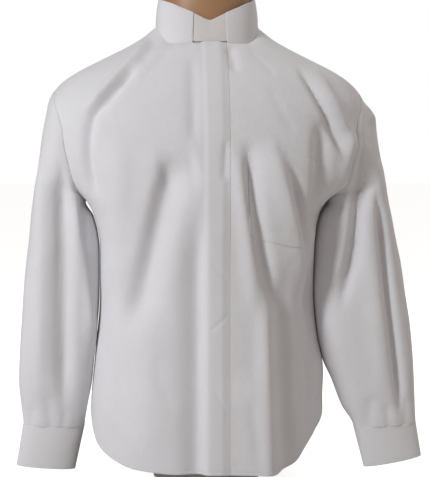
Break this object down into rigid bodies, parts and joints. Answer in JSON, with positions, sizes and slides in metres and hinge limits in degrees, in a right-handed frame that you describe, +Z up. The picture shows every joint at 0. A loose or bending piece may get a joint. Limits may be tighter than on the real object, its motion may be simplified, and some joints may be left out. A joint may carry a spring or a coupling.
{
  "type": "clergy shirt on a torso form",
  "caption": "Long-sleeved clerical shirt with a tab collar, concealed button front and chest pocket, shown on a limbless torso form that stands on its flat base.",
  "frame": {"origin": "centre of the torso form's flat base", "axes": "+Z up, front of the shirt towards -Y, the wearer's left towards +X"},
  "size_m": [0.668, 0.2721, 0.805],
  "materials": {
    "shirt_cloth": "matt plain-weave cotton and polyester shirting",
    "collar_slip": "smooth stiff slip",
    "shirt_button": "pearly",
    "form_skin": "satin, tan"
  },
  "bodies": {
    "root": {"front_right": "shirt_cloth", "front_left": "shirt_cloth", "placket": "shirt_cloth", "pocket": "shirt_cloth", "back": "shirt_cloth", "yoke": "shirt_cloth", "sleeve_right": "shirt_cloth", "sleeve_left": "shirt_cloth", "sleeve_placket_right": "shirt_cloth", "sleeve_placket_left": "shirt_cloth", "cuff_right": "shirt_cloth", "cuff_left": "shirt_cloth", "collar_stand": "shirt_cloth", "collar_cover": "shirt_cloth", "collar_tab": "collar_slip", "cuff_button_right": "shirt_button", "cuff_button_left": "shirt_button", "torso_form": "form_skin"}
  },
  "joints": []
}
